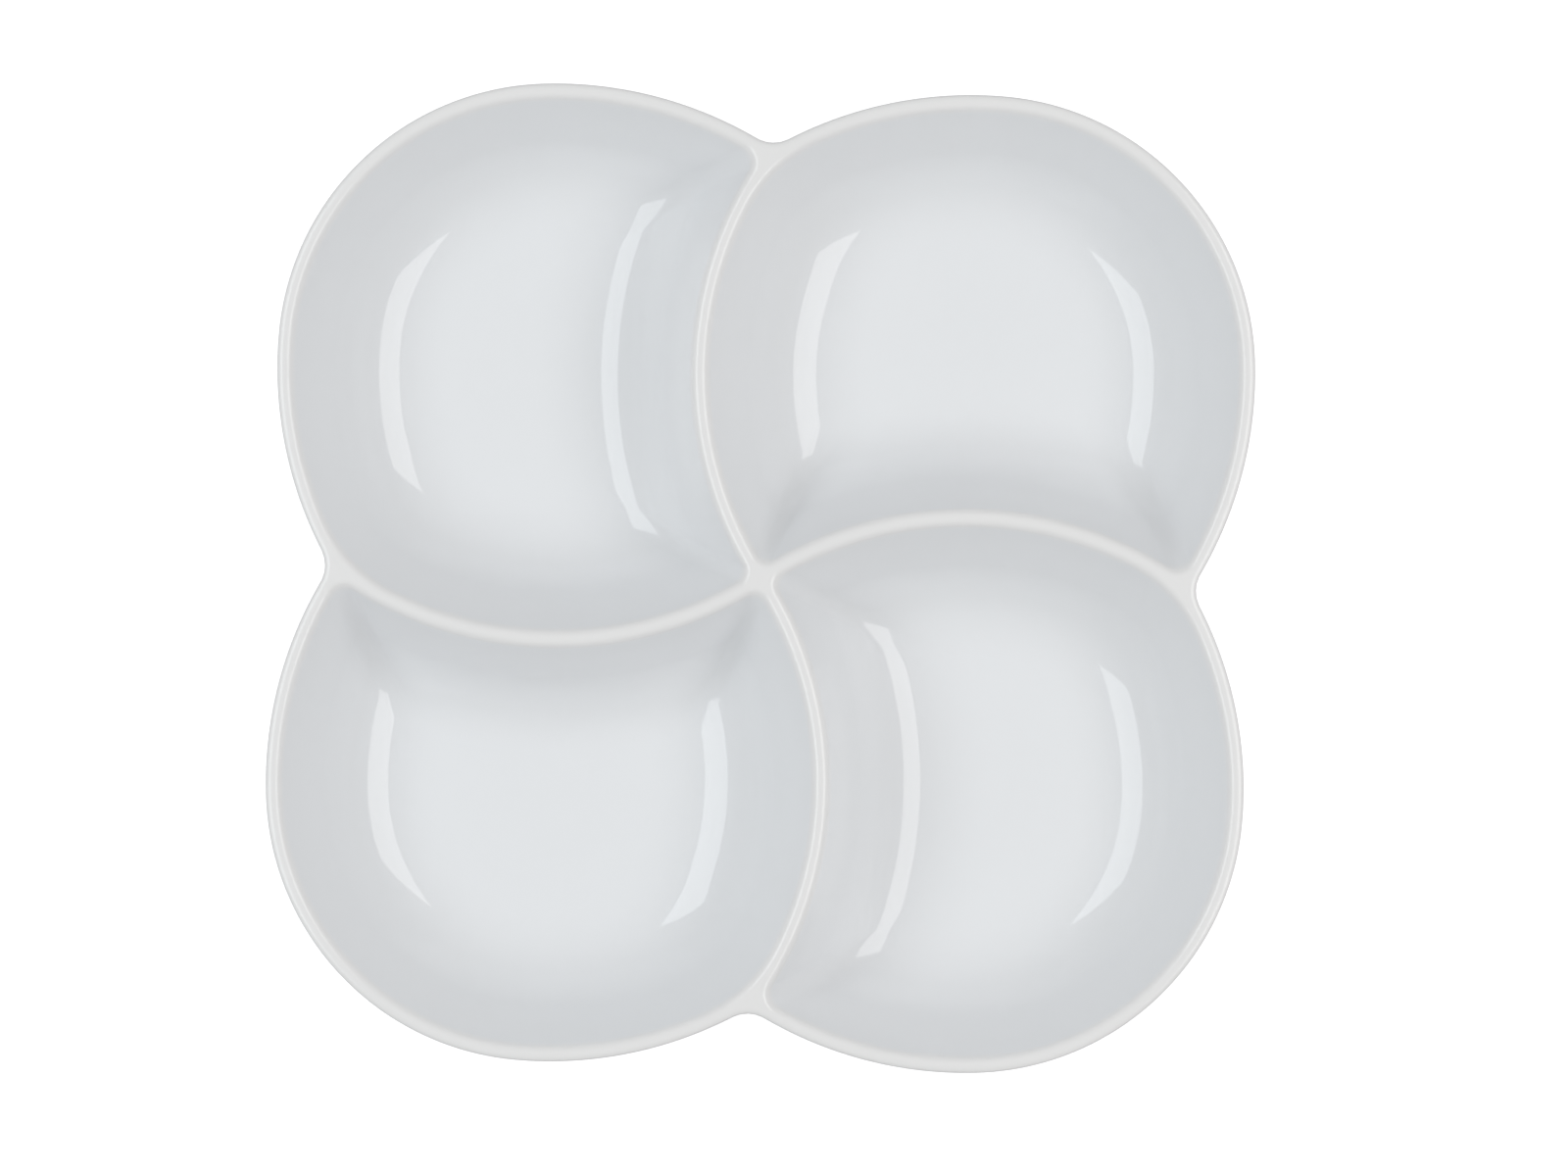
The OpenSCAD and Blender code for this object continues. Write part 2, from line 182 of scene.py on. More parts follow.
@dataclass(frozen=True)
class LobePlan:
    """Plan and profile of the back right lobe, in millimetres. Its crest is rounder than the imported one."""

    dish_w: float = 280
    lobe_spacing: float = 119
    side_r: float = 114
    corner_r: float = 78.4
    notch_r: float = 9.5
    rim_w: float = 4
    edge_r: float = 1.6
    crest_r: float = 2.6
    crest_flat: float = 0.1
    lip_tilt: float = math.radians(30)
    divider_bulge: float = 19
    divider_mid: float = 61
    divider_h: float = 10
    well_depth: float = 37.5
    floor_t: float = 4.5
    wall_bend_share: float = 0.8
    round_run: float = 38
    cut_run: float = 31
    notch_corner_r: float = 5
    middle_corner_r: float = 4
    bend_r: float = 40
    floor_corner_r: float = 5
    foot_corner_r: float = 12
    floor_bend_r: float = 24
    foot_h: float = 3
    groove_half: float = 0.3
    under_corner_r: float = 3
    margin: float = 1.2

    # Steps of each section of a ring
    fillet_steps: int = 8
    beside_steps: int = 4
    divider_steps: int = 40
    crossing_steps: int = 10
    notch_steps: int = 7
    side_steps: int = 90

    def __post_init__(self) -> None:
        """Works out the circles that the plan is made of, and where the webs end."""
        self._set("dish_h", self.foot_h + self.floor_t + self.well_depth)
        self._set("floor_z", self.foot_h + self.floor_t)
        self._set("edge_z", self.dish_h - self.edge_r)
        self._set("groove_z", self.dish_h - self.divider_h)
        self._set("half_w", self.rim_w / 2)
        self._set("lip_reach", self.crest_flat + self.crest_r * math.sin(self.lip_tilt))
        self._set("lip_drop", self.crest_r * (1 - math.cos(self.lip_tilt)))
        self._set("lip_r", (self.half_w - self.lip_reach) / (1 - math.sin(self.lip_tilt)))
        straight = 1 - self.wall_bend_share
        turn = math.acos(self.wall_bend_share / math.hypot(1, straight)) - math.atan(straight)
        self._set("straight", straight)
        self._set("straight_drop", straight + self.wall_bend_share * math.sin(turn))
        self._set("straight_reach", 1 - self.wall_bend_share * math.cos(turn))
        lobe_mid = self.lobe_spacing / 2
        side_mid = self.dish_w / 2 - self.side_r
        apart = lobe_mid - side_mid
        self._set("side_path_r", self.side_r - self.half_w)
        self._set("right_c", complex(side_mid, lobe_mid))
        self._set("back_c", complex(lobe_mid, side_mid))
        self._set("corner_path_r", min(self.corner_r, self.side_r - abs(apart)) - self.half_w)
        gap = self.side_path_r - self.corner_path_r
        corner_mid = (lobe_mid + side_mid + math.sqrt(2 * gap ** 2 - apart ** 2)) / 2
        self._set("corner_c", complex(corner_mid, corner_mid))
        bulge = self.divider_bulge
        self._set("divider_r", (bulge ** 2 + self.divider_mid ** 2) / (2 * bulge))
        self._set("own_c", complex(self.divider_r - bulge, self.divider_mid))
        self._set("next_c", complex(self.divider_mid, bulge - self.divider_r))
        self._set("right_end", heading(self.corner_c - self.right_c))
        self._set("back_start", heading(self.corner_c - self.back_c))
        reach = side_mid + math.sqrt((self.side_r + self.notch_r) ** 2 - lobe_mid ** 2)
        self._set("notch_mid", complex(reach, 0))
        self._set("notch_face", heading(self.notch_mid - self.right_c))
        self._place_web_ends()

    def _set(self, name: str, value: object) -> None:
        """Keeps a value that is worked out from the fields."""
        object.__setattr__(self, name, value)

    def _place_web_ends(self) -> None:
        """Finds the directions at which the webs give way to the rim and to the dividers."""
        levels = [self.fillets(self.well_level(z)) for z in (self.groove_z, self.edge_z, self.dish_h)]
        self._set("groove_fillets", levels[0])
        pairs = list(zip(*levels))
        starts = [self.notch_side(c) for c in pairs[1]]
        self._set("rim_from", max(*starts, self.notch_face) + self.margin)
        ends = [heading(c - self.back_c) for c in pairs[2]]
        self._set("rim_to", min(*ends, QUARTER - self.notch_face) - self.margin)
        firsts = [turned(c - self.own_c) for c in pairs[2]]
        firsts += [turned(c - self.next_c) + QUARTER for c in pairs[1]]
        self._set("divider_from", max(firsts) + self.margin)
        lasts = [turned(c - self.own_c) for c in pairs[0]]
        lasts += [turned(c - self.next_c) + QUARTER for c in pairs[0]]
        self._set("divider_to", min(lasts) - self.margin)

    def fillets(self, level: Level) -> tuple[complex, complex, complex]:
        """Finds the middles of the three corners of a well's outline.

        Args:
            level: The outline's insets and corner radii.

        Returns:
            The middles of the corner in the middle of the dish, the one at the notch and the bend.
        """
        middle = crossing(
            self.next_c, self.divider_r + level.following + level.middle_r,
            self.own_c, self.divider_r - level.own - level.middle_r,
        )
        reach = level.side + level.notch_r
        beyond = self.divider_r + level.following + level.notch_r
        notch = crossing(self.right_c, self.side_path_r - reach, self.next_c, beyond)
        if heading(notch - self.right_c) > self.right_end:
            notch = crossing(self.corner_c, self.corner_path_r - reach, self.next_c, beyond)
        bend = crossing(
            self.back_c, self.side_path_r - level.side - level.bend_r,
            self.own_c, self.divider_r - level.own - level.bend_r,
        )
        return middle, notch, bend

    def notch_side(self, notch: complex) -> float:
        """The direction in which the notch corner meets the lobe's outer side."""
        face = heading(notch - self.right_c)
        return face if face <= self.right_end else heading(notch - self.corner_c)

    def side_path(self, inset: float, start: float, end: float) -> list[Arc]:
        """Follows the lobe's outer side between two directions that it faces.

        Args:
            inset: Distance in from the middle of the wall.
            start: First direction, in degrees.
            end: Last direction.

        Returns:
            The arcs of the right side, the outer corner and the back side.
        """
        circles = (
            (self.right_c, self.side_path_r, -FULL, self.right_end),
            (self.corner_c, self.corner_path_r, self.right_end, self.back_start),
            (self.back_c, self.side_path_r, self.back_start, FULL),
        )
        arcs = []
        for centre, radius, low, high in circles:
            if min(end, high) > max(start, low):
                arcs.append(Arc(centre, radius - inset, max(start, low), min(end, high)))
        return arcs

    def lean(self, share: float) -> float:
        """How far a wall has come in at a share of its drop: straight, then bent to the floor."""
        if share < self.straight_drop:
            return share * self.straight_reach / self.straight_drop
        return self.straight + self.wall_bend_share * curve((share - self.straight) / self.wall_bend_share)

    def wall_angle(self, run: float) -> float:
        """The angle of a wall's straight part, in radians from level."""
        depth = self.edge_z - self.floor_z
        return math.atan2(depth * self.straight_drop, run * self.straight_reach)

    def crest_inside(self, z: float) -> float:
        """Inset of the crest's rounding towards a well, at a height."""
        return self.crest_flat + self.crest_r * bow((self.dish_h - z) / self.crest_r)

    def inside(self, run: float, z: float) -> float:
        """Inset of a well's wall at a height above its floor."""
        angle = self.wall_angle(run)
        drop = self.crest_r * (1 - math.cos(angle))
        if z > self.dish_h - drop:
            return self.crest_inside(z)
        start = self.crest_flat + self.crest_r * math.sin(angle) + (self.edge_r - drop) / math.tan(angle)
        share = (self.edge_z - z) / (self.edge_z - self.floor_z)
        return start + (run + self.half_w - start) * self.lean(share)

    def lip_fall(self, tilt: float) -> float:
        """Drop of the crest's outer rounding from its top to where it faces so far down, in radians."""
        if tilt < self.lip_tilt:
            return self.crest_r * (1 - math.cos(tilt))
        return self.lip_drop + self.lip_r * (math.cos(self.lip_tilt) - math.cos(tilt))

    def outside(self, z: float) -> float:
        """Inset of the lobe's outer face at a height."""
        drop = self.dish_h - z
        if drop < self.lip_drop:
            return -self.crest_inside(z)
        angle = self.wall_angle(self.round_run)
        end = self.lip_fall(math.pi - angle)
        cosine = math.cos(self.lip_tilt) - (min(drop, end) - self.lip_drop) / self.lip_r
        out = self.lip_reach + self.lip_r * (math.sqrt(1 - cosine ** 2) - math.sin(self.lip_tilt))
        if drop <= end:
            return -out
        start = out + (end - self.edge_r) / math.tan(angle)
        share = (self.edge_z - z) / (self.edge_z - self.foot_h)
        return (self.round_run + self.half_w + start) * self.lean(share) - start

    def well_level(self, z: float) -> Level:
        """The outline of a well's inner face at a height."""
        share = self.lean(max(0.0, self.edge_z - z) / (self.edge_z - self.floor_z))
        rounding = max(0.0, self.half_w - self.crest_inside(max(z, self.edge_z)))
        corners = (
            near + (low - near) * share + rounding
            for near, low in (
                (self.middle_corner_r, self.floor_corner_r),
                (self.notch_corner_r, self.floor_corner_r),
                (self.bend_r, self.floor_bend_r),
            )
        )
        side = self.inside(self.round_run, z)
        return Level(z, side, self.inside(self.cut_run, z), side, *corners)

    def under_level(self, z: float) -> Level:
        """The outline of a lobe's underside at a height below the groove."""
        share = self.lean((self.groove_z - z) / (self.groove_z - self.foot_h))
        reach = self.half_w - self.groove_half
        corner = self.under_corner_r + (self.foot_corner_r - self.under_corner_r) * share
        bend = self.bend_r + (self.floor_bend_r - self.bend_r) * share
        return Level(
            z, self.groove_half + (self.round_run + reach) * share,
            self.groove_half + (self.cut_run + reach) * share, self.outside(z), corner, corner, bend,
        )

    def stations(self, level: Level) -> tuple[float, float, float, float]:
        """Finds where the sections of a ring part. Below the groove they keep their shares of the outline.

        Args:
            level: The ring's insets and corner radii.

        Returns:
            The directions from the own divider's middle of its first and last station, and the
            directions that the rim faces at its first and last station.
        """
        fixed = (self.divider_from, self.divider_to, self.rim_from, self.rim_to)
        if level.z >= self.groove_z:
            return fixed

        def spans(fillets: tuple[complex, complex, complex]) -> tuple[float, float, float, float]:
            """Directions at which the own divider and the outer side start and end."""
            middle, notch, bend = fillets
            return (
                turned(bend - self.own_c), turned(middle - self.own_c),
                self.notch_side(notch), heading(bend - self.back_c),
            )

        high = spans(self.groove_fillets)
        here = spans(self.fillets(level))
        places = []
        for index, angle in enumerate(fixed):
            first = index // 2 * 2
            share = (angle - high[first]) / (high[first + 1] - high[first])
            places.append(here[first] + share * (here[first + 1] - here[first]))
        return tuple(places)

    def next_span(self, level: Level) -> tuple[float, float]:
        """Finds the next divider's stations.

        Args:
            level: The ring's insets and corner radii.

        Returns:
            Their directions from the divider's middle, at the middle of the dish and at the notch.
        """
        if level.z >= self.groove_z:
            return self.divider_to - QUARTER, self.divider_from - QUARTER
        high_middle, high_notch, _ = self.groove_fillets
        middle, notch, _ = self.fillets(level)
        high = (heading(high_middle - self.next_c), heading(high_notch - self.next_c))
        here = (heading(middle - self.next_c), heading(notch - self.next_c))
        shares = [
            (angle - QUARTER - high[0]) / (high[1] - high[0])
            for angle in (self.divider_to, self.divider_from)
        ]
        return tuple(here[0] + share * (here[1] - here[0]) for share in shares)

    def ring(self, level: Level) -> list[complex]:
        """Lays points round a well's outline, from its own divider past the middle of the dish.

        Args:
            level: The outline's insets and corner radii.

        Returns:
            The points, in plan.
        """
        middle, notch, bend = self.fillets(level)
        own_r = self.divider_r - level.own
        next_r = self.divider_r + level.following
        own_first, own_last, rim_first, rim_last = self.stations(level)
        next_first, next_last = self.next_span(level)
        notch_end = self.notch_side(notch)
        bend_start = heading(bend - self.back_c)
        beside, fillet = self.beside_steps, self.fillet_steps
        round_middle = (
            spread([Arc(self.own_c, own_r, own_last, turned(middle - self.own_c))], beside)
            + spread(
                [Arc(middle, level.middle_r, turned(middle - self.own_c), turned(self.next_c - middle))],
                fillet,
            )
            + spread([Arc(self.next_c, next_r, heading(middle - self.next_c), next_first)], beside)
        )
        end_steps = self.crossing_steps + 1 + self.notch_steps
        round_notch = (
            spread([Arc(self.next_c, next_r, next_last, heading(notch - self.next_c))], beside)
            + spread([Arc(notch, level.notch_r, heading(self.next_c - notch), notch_end)], fillet)
            + spread(self.side_path(level.side, notch_end, rim_first), end_steps - beside - fillet)
        )
        round_bend = self.side_path(level.side, rim_last, bend_start)
        round_bend += [
            Arc(bend, level.bend_r, bend_start, turned(bend - self.own_c)),
            Arc(self.own_c, own_r, turned(bend - self.own_c), own_first),
        ]
        return (
            round_middle
            + spread([Arc(self.next_c, next_r, next_first, next_last)], self.divider_steps)
            + round_notch
            + spread(self.side_path(level.side, rim_first, rim_last), self.side_steps)
            + spread(round_bend, end_steps)
            + spread([Arc(self.own_c, own_r, own_first, own_last)], self.divider_steps)
        )

    def seam_ring(self, z: float) -> list[complex]:
        """Lays the same points along the dividers' middles and the lobe's outer face.

        Args:
            z: Height, from the groove up to the crest.

        Returns:
            The points, in plan.
        """
        out = self.outside(z)
        edge = self.notch_r + self.half_w + out
        radius = self.divider_r
        end = complex(2 * self.divider_mid, 0)
        back_end = complex(0, 2 * self.divider_mid)
        back_mid = complex(0, self.notch_mid.real)
        through_middle = [
            Arc(self.own_c, radius, self.divider_to, turned(-self.own_c)),
            Arc(self.next_c, radius, heading(-self.next_c), self.divider_to - QUARTER),
        ]
        out_to_rim = [Arc(self.notch_mid, edge, 2 * QUARTER, turned(self.right_c - self.notch_mid))]
        out_to_rim += self.side_path(out, self.notch_face, self.rim_from)
        back_from_rim = self.side_path(out, self.rim_to, QUARTER - self.notch_face)
        back_from_rim.append(Arc(back_mid, edge, heading(self.back_c - back_mid), -QUARTER))
        first, last = self.divider_from, self.divider_to
        to_axis = Arc(self.next_c, radius, first - QUARTER, heading(end - self.next_c))
        from_axis = Arc(self.own_c, radius, turned(back_end - self.own_c), first)
        return (
            spread(through_middle, self.middle_span)
            + spread([Arc(self.next_c, radius, last - QUARTER, first - QUARTER)], self.divider_steps)
            + spread([to_axis], self.crossing_steps)
            + spread([Line(end, self.notch_mid - edge)], 1)
            + spread(out_to_rim, self.notch_steps)
            + spread(self.side_path(out, self.rim_from, self.rim_to), self.side_steps)
            + spread(back_from_rim, self.notch_steps)
            + spread([Line(back_mid - edge * 1j, back_end)], 1)
            + spread([from_axis], self.crossing_steps)
            + spread([Arc(self.own_c, radius, first, last)], self.divider_steps)
        )

    @property
    def middle_span(self) -> int:
        """Number of steps round the corner in the middle of the dish."""
        return 2 * self.beside_steps + self.fillet_steps

    @property
    def ring_steps(self) -> int:
        """Number of points on a ring."""
        ends = 2 * (self.crossing_steps + 1 + self.notch_steps)
        return self.middle_span + 2 * self.divider_steps + ends + self.side_steps

    @property
    def web_spans(self) -> tuple[range, range, range]:
        """The points on a ring at the middle web and at the webs of the lobe's two notches."""
        ends = self.crossing_steps + 1 + self.notch_steps
        first = self.middle_span + self.divider_steps
        last = first + ends + self.side_steps
        return range(self.middle_span + 1), range(first, first + ends + 1), range(last, last + ends + 1)

    @property
    def outer_span(self) -> tuple[int, int]:
        """First and last point of a seam ring that lie on the lobe's outer face."""
        first = self.middle_span + self.divider_steps + self.crossing_steps + 1
        return first, first + 2 * self.notch_steps + self.side_steps


def deselect_all() -> None:
    bpy.ops.object.select_all(action="DESELECT")
    bpy.context.view_layer.objects.active = None


class RingBuilder:
    """Grows one skin by extruding its edge, ring after ring."""

    def __init__(self, name: str, count: int, filled: bool) -> None:
        """Starts from a circle primitive.

        Args:
            name: Name of the object.
            count: Number of points on each ring.
            filled: Whether the first ring is closed by a fan.
        """
        deselect_all()
        bpy.ops.mesh.primitive_circle_add(
            vertices=count, radius=MM, fill_type="TRIFAN" if filled else "NOTHING"
        )
        self.piece = bpy.context.active_object
        self.piece.name = name
        self.piece.data.name = name
        bpy.ops.object.mode_set(mode="EDIT")
        skin = self._skin()
        round_verts = [v for v in skin.verts if v.co.length > MM / 2]
        round_verts.sort(key=lambda v: math.atan2(v.co.y, v.co.x))
        self.rings = [[v.index for v in round_verts]]
        self.hub = next((v.index for v in skin.verts if v.co.length < MM / 2), None)

    def _skin(self) -> bmesh.types.BMesh:
        """The mesh that is being edited, with its points in order."""
        skin = bmesh.from_edit_mesh(self.piece.data)
        skin.verts.index_update()
        skin.verts.ensure_lookup_table()
        return skin

    def place(self, points: list[complex], z: float) -> None:
        """Moves the newest ring onto its outline.

        Args:
            points: The outline, in plan, in millimetres.
            z: Its height in millimetres.
        """
        skin = self._skin()
        for index, point in zip(self.rings[-1], points):
            skin.verts[index].co = Vector((point.real, point.imag, z)) * MM
        if self.hub is not None and len(self.rings) == 1:
            middle = sum(points) / len(points)
            skin.verts[self.hub].co = Vector((middle.real, middle.imag, z)) * MM
        bmesh.update_edit_mesh(self.piece.data)

    def extrude(self, points: list[complex], z: float) -> None:
        """Extrudes the newest ring's edges and moves them onto the next outline.

        Args:
            points: The next outline, in plan, in millimetres.
            z: Its height in millimetres.
        """
        self.select_ring(-1)
        bpy.ops.mesh.extrude_edges_move()
        skin = self._skin()
        ring = []
        for index in self.rings[-1]:
            vert = skin.verts[index]
            others = [edge.other_vert(vert) for edge in vert.link_edges]
            ring.append(next(other.index for other in others if other.select))
        self.rings.append(ring)
        self.place(points, z)

    def select_ring(self, number: int) -> None:
        """Selects one ring's edges and nothing else."""
        bpy.ops.mesh.select_mode(type="EDGE")
        bpy.ops.mesh.select_all(action="DESELECT")
        skin = self._skin()
        ring = [skin.verts[i] for i in self.rings[number]]
        for vert, following in zip(ring, ring[1:] + ring[:1]):
            skin.edges.get((vert, following)).select_set(True)
        bmesh.update_edit_mesh(self.piece.data)

    def close_to_point(self) -> None:
        """Extrudes the newest ring once more and merges it in its middle."""
        self.select_ring(-1)
        bpy.ops.mesh.extrude_edges_move()
        bpy.ops.mesh.merge(type="CENTER")

    def select_faces(self, first_ring: int, last_ring: int, columns: Iterable[int]) -> None:
        """Selects the faces between two rings that lie wholly on some columns of points.

        Args:
            first_ring: Number of the first ring.
            last_ring: Number of the last ring.
            columns: The columns, as places on a ring.
        """
        bpy.ops.mesh.select_mode(type="FACE")
        bpy.ops.mesh.select_all(action="DESELECT")
        skin = self._skin()
        inner = {ring[c] for ring in self.rings[first_ring:last_ring + 1] for c in columns}
        for face in skin.faces:
            if all(v.index in inner for v in face.verts):
                face.select_set(True)
        bmesh.update_edit_mesh(self.piece.data)


@dataclass
class GlazedBody:
    """The glazed body: four lobes that share their dividers, rims and webs as one skin."""

    plan: LobePlan
    name: str = "glazed_body"
    floor_shares: tuple[float, ...] = (0.35, 0.7)
    straight_steps: int = 5
    bend_steps: int = 15
    crest_steps: int = 10
    lip_steps: int = 16
    outer_steps: int = 4
    groove_lip: float = 0.01
    sharp_angle: float = 35.0

    def build(self) -> bpy.types.Object:
        """Extrudes one lobe, turns it into four and merges them.

        Returns:
            The body's object.
        """
        plan = self.plan
        skin = RingBuilder(self.name, plan.ring_steps, filled=True)
        floor = plan.ring(plan.well_level(plan.floor_z))
        middle = sum(floor) / len(floor)
        skin.place([middle + (p - middle) * self.floor_shares[0] for p in floor], plan.floor_z)
        for share in self.floor_shares[1:]:
            skin.extrude([middle + (p - middle) * share for p in floor], plan.floor_z)
        self._raise_walls(skin)
        crest = len(skin.rings)
        self._turn_over_rim(skin)
        groove = len(skin.rings) - 1
        self._close_underside(skin)
        for columns in plan.web_spans:
            skin.select_faces(crest - 1, crest, columns)
            bpy.ops.mesh.dissolve_faces()
        first, last = plan.outer_span
        skin.select_faces(crest, groove, [c for c in range(plan.ring_steps) if c <= first or c >= last])
        bpy.ops.mesh.delete(type="FACE")
        self._repeat()
        return skin.piece

    def _wall_shares(self) -> list[float]:
        """Shares of a wall's height from the top, close together where it bends."""
        plan = self.plan
        drop = plan.straight_drop
        straight = [drop * step / self.straight_steps for step in range(self.straight_steps)]
        start = math.asin((drop - 1) / plan.wall_bend_share + 1)
        turn = (math.pi / 2 - start) / self.bend_steps
        bent = [start + turn * step for step in range(self.bend_steps + 1)]
        return straight + [1 - plan.wall_bend_share * (1 - math.sin(angle)) for angle in bent]

    def _raise_walls(self, skin: RingBuilder) -> None:
        """Extrudes the well's wall from the flat floor to the crest."""
        plan = self.plan
        depth = plan.edge_z - plan.floor_z
        heights = [plan.edge_z - depth * share for share in reversed(self._wall_shares()[1:])]
        steepest = plan.wall_angle(plan.cut_run)
        tilts = [steepest * step / self.crest_steps for step in range(self.crest_steps, -1, -1)]
        heights += [plan.dish_h - plan.crest_r * (1 - math.cos(tilt)) for tilt in tilts]
        for z in heights:
            skin.extrude(plan.ring(plan.well_level(z)), z)

    def _turn_over_rim(self, skin: RingBuilder) -> None:
        """Extrudes the crest's top, its outer edge and the outer face, down to the groove."""
        plan = self.plan
        last = math.pi - plan.wall_angle(plan.round_run)
        tilts = [last * step / self.lip_steps for step in range(self.lip_steps + 1)]
        heights = [plan.dish_h - plan.lip_fall(tilt) for tilt in tilts]
        low = heights[-1]
        drop = low - plan.groove_z
        heights += [low - drop * step / self.outer_steps for step in range(1, self.outer_steps + 1)]
        for z in heights:
            skin.extrude(plan.seam_ring(z), z)

    def _close_underside(self, skin: RingBuilder) -> None:
        """Extrudes the lobe's underside and closes it in its middle."""
        plan = self.plan
        for share in [self.groove_lip] + self._wall_shares()[1:]:
            z = plan.groove_z - (plan.groove_z - plan.foot_h) * share
            base = plan.ring(plan.under_level(z))
            skin.extrude(base, z)
        middle = sum(base) / len(base)
        for share in reversed(self.floor_shares):
            skin.extrude([middle + (p - middle) * share for p in base], plan.foot_h)
        skin.close_to_point()

    def _repeat(self) -> None:
        """Spins three copies round the middle, merges them and points their faces outward."""
        bpy.ops.mesh.select_mode(type="VERT")
        bpy.ops.mesh.select_all(action="SELECT")
        bpy.ops.mesh.spin(
            steps=3, dupli=True, angle=math.radians(3 * QUARTER), center=(0, 0, 0), axis=(0, 0, 1)
        )
        bpy.ops.mesh.select_all(action="SELECT")
        bpy.ops.mesh.remove_doubles(threshold=MERGE_GAP)
        bpy.ops.mesh.normals_make_consistent(inside=False)
        bpy.ops.object.mode_set(mode="OBJECT")
        bpy.ops.object.shade_smooth_by_angle(angle=math.radians(self.sharp_angle))


@dataclass
class FootRing:
    """A bare ring under a lobe, along the outline of its flat floor."""

    plan: LobePlan
    nodes: tuple[str, ...] = (
        "foot_ring_back_right", "foot_ring_back_left", "foot_ring_front_left", "foot_ring_front_right",
    )
    inset: float = 0.6
    lap: float = 0.2
    sunk: float = 0.5
    edge_r: float = 0.8
    edge_steps: int = 4

    def build(self) -> list[bpy.types.Object]:
        """Extrudes one ring and turns copies of it under the other lobes.

        Returns:
            The four rings, in the order of the nodes.
        """
        plan = self.plan
        outer = plan.ring(plan.under_level(plan.foot_h + self.lap))
        inner = plan.ring(plan.under_level(plan.foot_h))

        def across(share: float) -> list[complex]:
            """The outline at a share of the ring's width."""
            return [a + (b - a) * share for a, b in zip(outer, inner)]

        width = sum(abs(b - a) for a, b in zip(outer, inner)) / len(outer)
        radius = self.edge_r / width
        top = plan.foot_h + self.sunk
        skin = RingBuilder(self.nodes[0] + "_bare", plan.ring_steps, filled=False)
        skin.place(across(0.0), top)
        for step in range(self.edge_steps + 1):
            angle = math.radians(QUARTER * step / self.edge_steps)
            share = self.inset / width + radius * (1 - math.cos(angle))
            skin.extrude(across(share), self.edge_r * (1 - math.sin(angle)))
        for step in range(self.edge_steps, -1, -1):
            angle = math.radians(QUARTER * step / self.edge_steps)
            share = 1 - radius * (1 - math.cos(angle))
            skin.extrude(across(share), self.edge_r * (1 - math.sin(angle)))
        skin.extrude(across(1.0), top)
        bpy.ops.mesh.select_mode(type="VERT")
        bpy.ops.mesh.select_all(action="SELECT")
        skin.extrude(across(0.0), top)
        bpy.ops.mesh.select_all(action="SELECT")
        bpy.ops.mesh.remove_doubles(threshold=MERGE_GAP)
        bpy.ops.mesh.normals_make_consistent(inside=False)
        bpy.ops.object.mode_set(mode="OBJECT")
        bpy.ops.object.shade_smooth_by_angle(angle=math.radians(QUARTER / 2))
        return [skin.piece] + [self._copy(skin.piece, turns) for turns in (1, 2, 3)]

    def _copy(self, ring: bpy.types.Object, turns: int) -> bpy.types.Object:
        """Copies the ring and turns the copy about the middle of the dish.

        Args:
            ring: The ring under the back right lobe.
            turns: Number of quarter turns, seen from above against the clock.

        Returns:
            The copy, with its place in its mesh.
        """
        deselect_all()
        ring.select_set(True)
        bpy.context.view_layer.objects.active = ring
        bpy.ops.object.duplicate(linked=False)
        copy = bpy.context.active_object
        copy.name = self.nodes[turns] + "_bare"
        copy.data.name = copy.name
        bpy.ops.object.mode_set(mode="EDIT")
        bpy.ops.mesh.select_all(action="SELECT")
        bpy.ops.transform.rotate(
            value=-math.radians(QUARTER * turns), orient_axis="Z", center_override=(0, 0, 0)
        )
        bpy.ops.object.mode_set(mode="OBJECT")
        return copy


